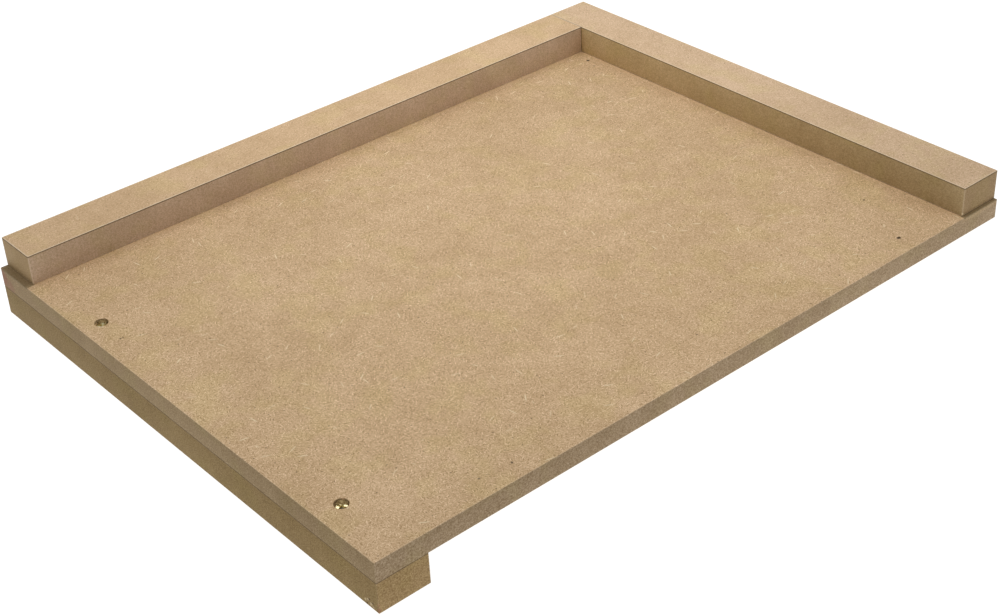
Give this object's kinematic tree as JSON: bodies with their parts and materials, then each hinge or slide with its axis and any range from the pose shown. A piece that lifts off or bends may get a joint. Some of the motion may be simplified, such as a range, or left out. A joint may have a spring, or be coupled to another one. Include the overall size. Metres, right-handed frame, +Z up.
{
  "type": "bench hook",
  "caption": "Flat fibreboard bench hook with a side fence and a back fence on top and a hook bar under its front edge, held by countersunk screws.",
  "frame": {"origin": "on the ground at the middle of the whole object, level with the hook bar's foot", "axes": "+X to the worker's right, +Y away from the worker and from the hook bar, +Z up out of the work face"},
  "size_m": [0.345, 0.45, 0.048],
  "materials": {
    "board_fibreboard": "bare, unsanded face with fine fibres",
    "hook_fibreboard": "bare, sawn",
    "fence_fibreboard": "bare, smooth",
    "screw_plating": "zinc plate, passivated yellow"
  },
  "bodies": {
    "root": {"base_board": "board_fibreboard", "hook_bar": "hook_fibreboard", "back_fence": "fence_fibreboard", "side_fence": "fence_fibreboard", "hook_screw_left": "screw_plating", "hook_screw_right": "screw_plating", "back_fence_screw_left": "screw_plating", "back_fence_screw_right": "screw_plating", "side_fence_screw_front": "screw_plating", "side_fence_screw_middle": "screw_plating", "side_fence_screw_rear": "screw_plating"}
  },
  "joints": []
}
